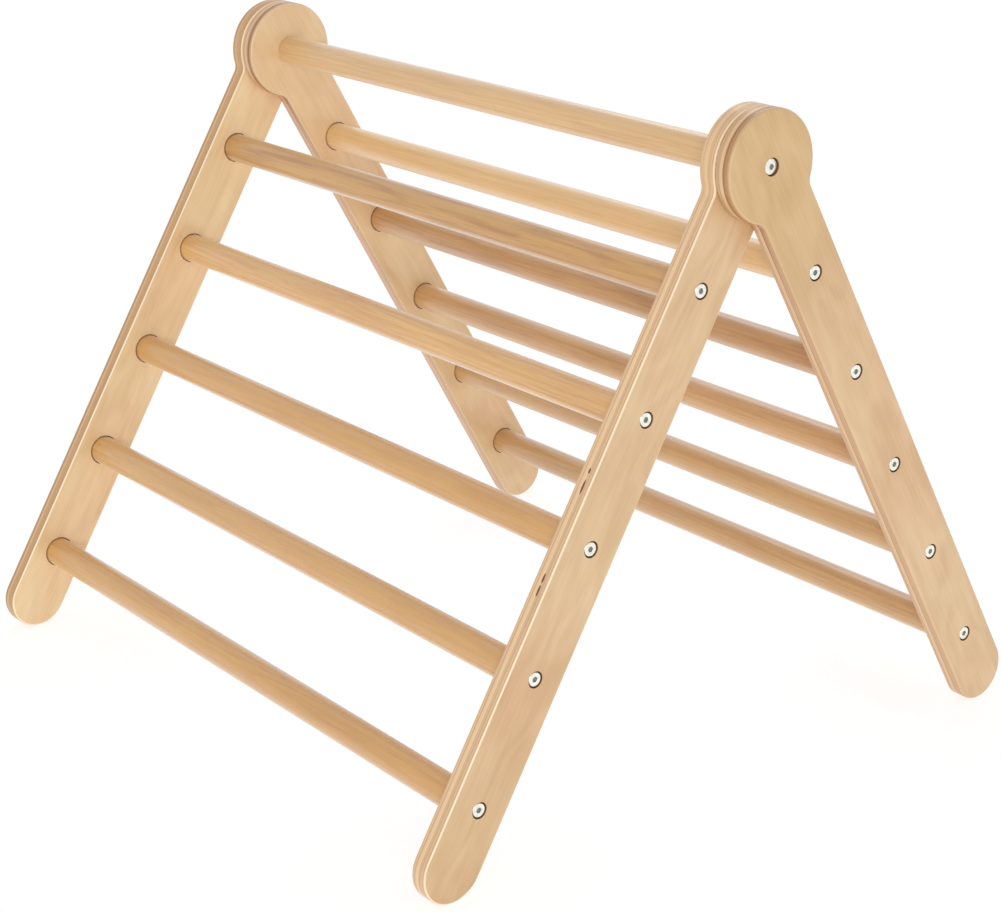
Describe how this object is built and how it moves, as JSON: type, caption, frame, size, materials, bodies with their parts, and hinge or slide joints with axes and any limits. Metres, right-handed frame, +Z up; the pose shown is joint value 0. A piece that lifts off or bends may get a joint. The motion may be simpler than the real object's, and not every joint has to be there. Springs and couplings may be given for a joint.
{
  "type": "folding climbing triangle",
  "caption": "A-shaped wooden climbing frame for small children: two ladders of round rungs on plywood rails, overlapping at round heads that turn about the top rung and fold together.",
  "frame": {"origin": "on the floor, under the middle of the open triangle's bounding box", "axes": "+Z up, X along the rungs, the front frame leans to -Y and the back frame to +Y; right is the +X end"},
  "size_m": [0.77, 0.723, 0.6483],
  "materials": {
    "birch_plywood": "birch plywood, satin clear lacquer, rounded edges that show the plies",
    "beech": "turned beech, satin clear lacquer",
    "nickel_screws": "bright nickel plate",
    "steel": "ground steel",
    "brass_inserts": "turned brass",
    "nylon": "natural nylon"
  },
  "bodies": {
    "front_frame": {"front_rail_right": "birch_plywood", "front_rail_left": "birch_plywood", "front_rung_1": "beech", "front_rung_2": "beech", "front_rung_3": "beech", "front_rung_4": "beech", "front_rung_5": "beech", "top_rung": "beech", "front_screws_right": "nickel_screws", "front_screws_left": "nickel_screws", "front_inserts_right": "brass_inserts", "front_inserts_left": "brass_inserts", "pivot_screw_right": "nickel_screws", "pivot_screw_left": "nickel_screws", "pivot_insert_right": "brass_inserts", "pivot_insert_left": "brass_inserts", "pivot_bush_right": "steel", "pivot_bush_left": "steel", "head_washer_right": "nylon", "head_washer_left": "nylon", "stop_pin_right": "steel", "stop_pin_left": "steel"},
    "back_frame": {"back_rail_right": "birch_plywood", "back_rail_left": "birch_plywood", "back_rung_1": "beech", "back_rung_2": "beech", "back_rung_3": "beech", "back_rung_4": "beech", "back_rung_5": "beech", "back_screws_right": "nickel_screws", "back_screws_left": "nickel_screws", "back_inserts_right": "brass_inserts", "back_inserts_left": "brass_inserts"}
  },
  "joints": [
    {"name": "fold", "type": "hinge", "parent": "front_frame", "child": "back_frame", "pos_m": [0, 0, 0.59731], "axis": [-1, 0, 0], "range_deg": [0, 37.4]}
  ]
}
